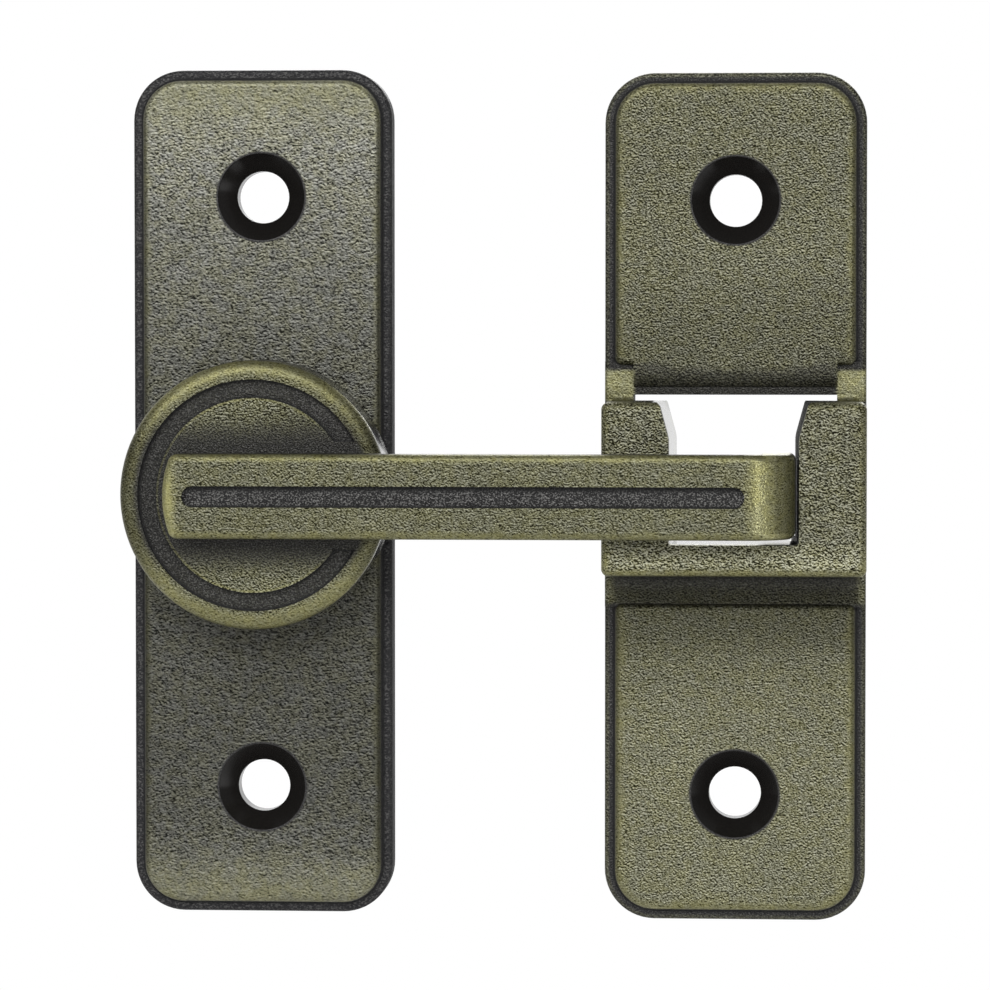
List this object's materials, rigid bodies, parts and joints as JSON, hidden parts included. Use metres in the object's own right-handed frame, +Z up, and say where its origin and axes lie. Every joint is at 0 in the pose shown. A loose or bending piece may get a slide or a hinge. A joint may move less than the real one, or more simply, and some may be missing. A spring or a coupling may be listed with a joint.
{
  "type": "barn door latch",
  "caption": "Surface-mounted flip latch: a base plate with a turning disc and hooked arm, and a keeper plate whose raised U slot catches the hook.",
  "frame": {"origin": "on the mounting plane, midway between the two screw holes of the base plate", "axes": "+X from the base plate to the keeper, +Z up along the plates, +Y into the wall, so the front faces -Y"},
  "size_m": [0.0708, 0.0149, 0.0816],
  "materials": {
    "antique_bronze": "brushed antique bronze plating over a fine leathery cast grain, near black in the recesses",
    "nylon": "natural nylon",
    "spring_steel": "dark spring steel",
    "zinc_steel": "bright zinc plating"
  },
  "bodies": {
    "plates": {"base_plate": "antique_bronze", "keeper": "antique_bronze", "friction_washer": "nylon", "spring_washer": "spring_steel"},
    "lever": {"latch_lever": "antique_bronze", "retaining_washer": "zinc_steel", "pivot_screw": "zinc_steel"}
  },
  "joints": [
    {"name": "lever_swing", "type": "hinge", "parent": "plates", "child": "lever", "pos_m": [0, 0, 0], "axis": [0, -1, 0], "range_deg": [0, 180]}
  ]
}
